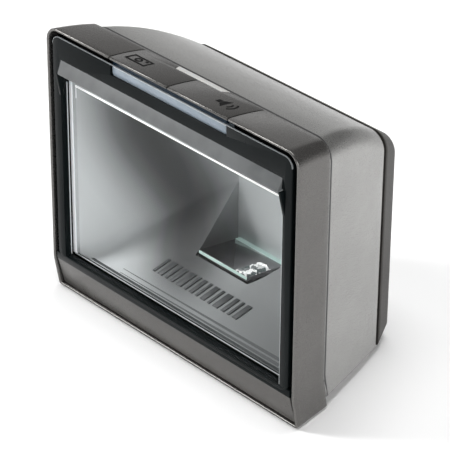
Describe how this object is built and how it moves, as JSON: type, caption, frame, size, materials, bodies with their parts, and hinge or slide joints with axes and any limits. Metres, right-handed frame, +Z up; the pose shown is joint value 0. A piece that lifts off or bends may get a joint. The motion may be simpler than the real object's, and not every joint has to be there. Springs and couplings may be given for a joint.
{
  "type": "on-counter presentation barcode scanner",
  "caption": "Upright on-counter barcode scanner: tall window in a dark band, tapered grey housing, two press buttons and a light bar on top.",
  "frame": {"origin": "bottom centre of the whole scanner, on the surface that its feet stand on", "axes": "+Z up; the reading window faces -Y; X runs across the width, +X to the right seen from the front"},
  "size_m": [0.1778, 0.097, 0.1526],
  "materials": {
    "band_plastic": "semi-gloss moulded warm dark grey plastic with a fine pearl fleck",
    "frame_plastic": "glossy near-black plastic",
    "housing_plastic": "satin light grey moulded plastic with a fine spark texture",
    "back_plastic": "satin dark grey moulded plastic",
    "rubber": "matte black elastomer",
    "chassis_plastic": "matte neutral grey inner moulding",
    "window_glass": "clear coated flat window",
    "light_bar_plastic": "milky bluish translucent light guide",
    "status_plastic": "silvery translucent light guide",
    "mirror_glass": "front-silvered glass with pale green ground edges",
    "lens_glass": "coated dark lens",
    "black_plastic": "matte black engineering plastic",
    "circuit_board": "green solder mask",
    "silicone": "translucent soft silicone",
    "steel": "zinc plated steel",
    "brass": "knurled brass",
    "label_film": "blank matte polyester label"
  },
  "bodies": {
    "scanner_body": {"front_band": "band_plastic", "window_frame": "frame_plastic", "window_glass": "window_glass", "window_gasket": "rubber", "status_light_bar": "light_bar_plastic", "rear_status_light": "status_plastic", "rear_housing": "housing_plastic", "seam_gasket": "rubber", "back_plate": "back_plastic", "rating_label": "label_film", "foot_front_left": "rubber", "foot_front_right": "rubber", "foot_rear_left": "rubber", "foot_rear_right": "rubber", "dome_left": "silicone", "switch_left": "black_plastic", "led_lens_left": "silicone", "led_board_left": "circuit_board", "mount_insert_left": "brass", "dome_right": "silicone", "switch_right": "black_plastic", "led_lens_right": "silicone", "led_board_right": "circuit_board", "mount_insert_right": "brass", "button_board": "circuit_board", "optics_chassis": "chassis_plastic", "fold_mirror": "mirror_glass", "camera_lens": "lens_glass", "mirror_pad": "rubber", "camera_barrel": "black_plastic", "image_sensor": "black_plastic", "sensor_board": "circuit_board", "main_board": "circuit_board", "host_port": "black_plastic", "aux_port": "black_plastic", "power_jack": "black_plastic", "speaker": "black_plastic", "cover_screw_1": "steel", "cover_screw_2": "steel", "cover_screw_3": "steel", "cover_screw_4": "steel", "chassis_screw_1": "steel", "chassis_screw_2": "steel", "chassis_screw_3": "steel", "chassis_screw_4": "steel"},
    "capture_button": {"capture_button": "band_plastic"},
    "volume_button": {"volume_button": "band_plastic"}
  },
  "joints": [
    {"name": "capture_button_press", "type": "slide", "parent": "scanner_body", "child": "capture_button", "axis": [0, 0, -1], "range_m": [0, 0.0009], "stiffness_N_per_m": 800, "springref_m": -0.001, "deforming": ["dome_left"]},
    {"name": "volume_button_press", "type": "slide", "parent": "scanner_body", "child": "volume_button", "axis": [0, 0, -1], "range_m": [0, 0.0009], "stiffness_N_per_m": 800, "springref_m": -0.001, "deforming": ["dome_right"]}
  ]
}
